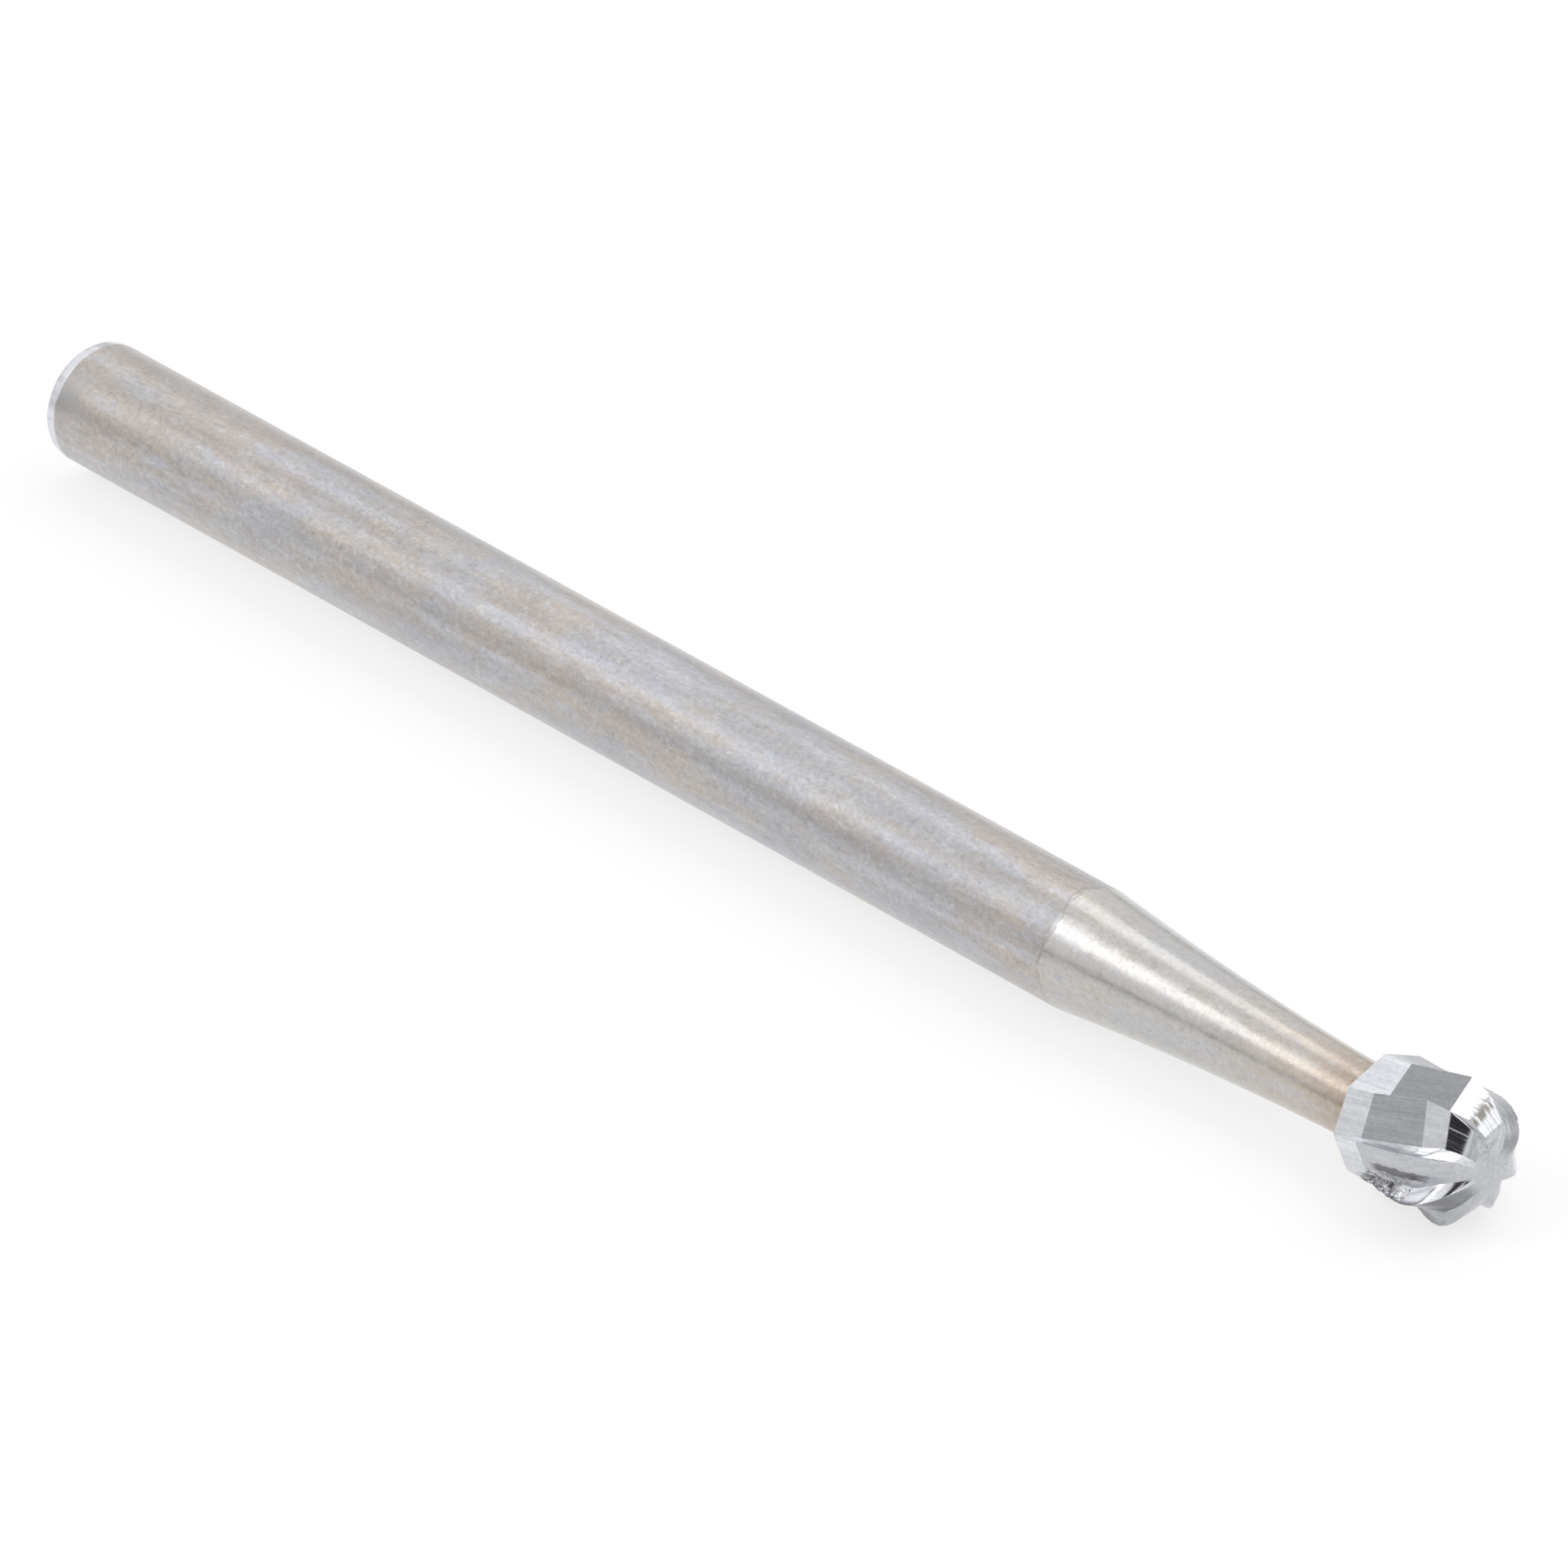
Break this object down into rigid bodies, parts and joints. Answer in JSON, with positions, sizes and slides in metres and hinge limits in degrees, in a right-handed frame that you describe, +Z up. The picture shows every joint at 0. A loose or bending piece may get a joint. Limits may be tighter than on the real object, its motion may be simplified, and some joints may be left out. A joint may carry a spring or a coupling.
{
  "type": "carbide burr",
  "caption": "Small rotary burr: a plain cylindrical steel shank tapering through a ground concave neck to a blunt round-nosed carbide head with spiral, facet-ground cutting teeth.",
  "frame": {"origin": "on the floor under the middle of the burr's length, as it lies at rest on two cutting edges", "axes": "+X along the burr toward the tip of the head, +Z up, +Y across"},
  "size_m": [0.038, 0.0026, 0.0026],
  "materials": {
    "shank": "satin, mottled, with a ground neck",
    "carbide_head": "ground tungsten carbide"
  },
  "bodies": {
    "root": {"shank": "shank", "carbide_head": "carbide_head"}
  },
  "joints": []
}
